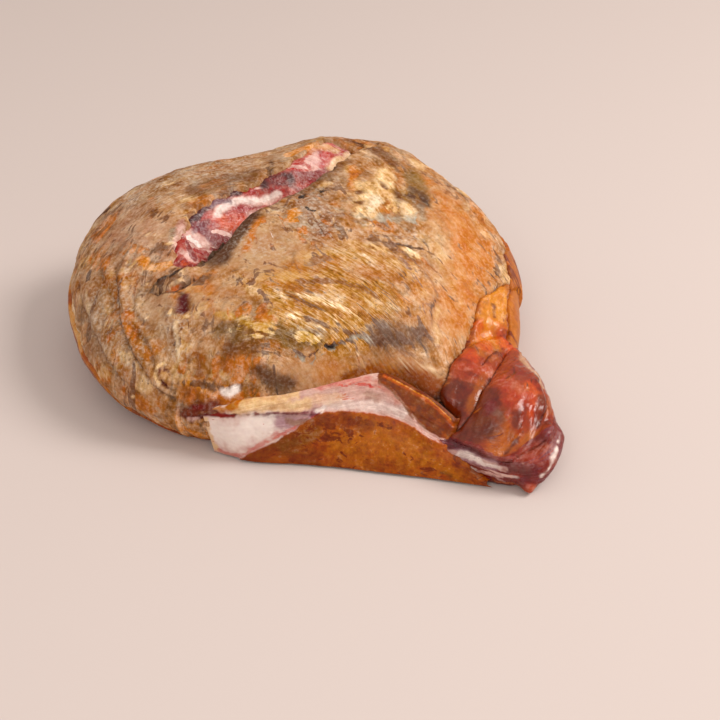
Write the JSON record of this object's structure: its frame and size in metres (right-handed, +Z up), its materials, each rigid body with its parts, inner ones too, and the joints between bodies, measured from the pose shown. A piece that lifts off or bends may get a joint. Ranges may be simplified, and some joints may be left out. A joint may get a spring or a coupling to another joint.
{
  "type": "boned dry-cured ham",
  "caption": "Whole boned dry-cured ham lying on its rind, with the bone's opening along its top, a flap of rind and fat along its front, and a folded shank end.",
  "frame": {"origin": "on the surface that the ham lies on, under the middle of its bounding box", "axes": "+X along the leg to the shank end, +Y to the side away from the flap, +Z up"},
  "size_m": [0.418, 0.3225, 0.12],
  "materials": {
    "ham": "dry-cured meat: tan-brown dried crust on top, orange-brown rind below, white fat and dark red meat where it is cut"
  },
  "bodies": {
    "root": {"ham": "ham"}
  },
  "joints": []
}
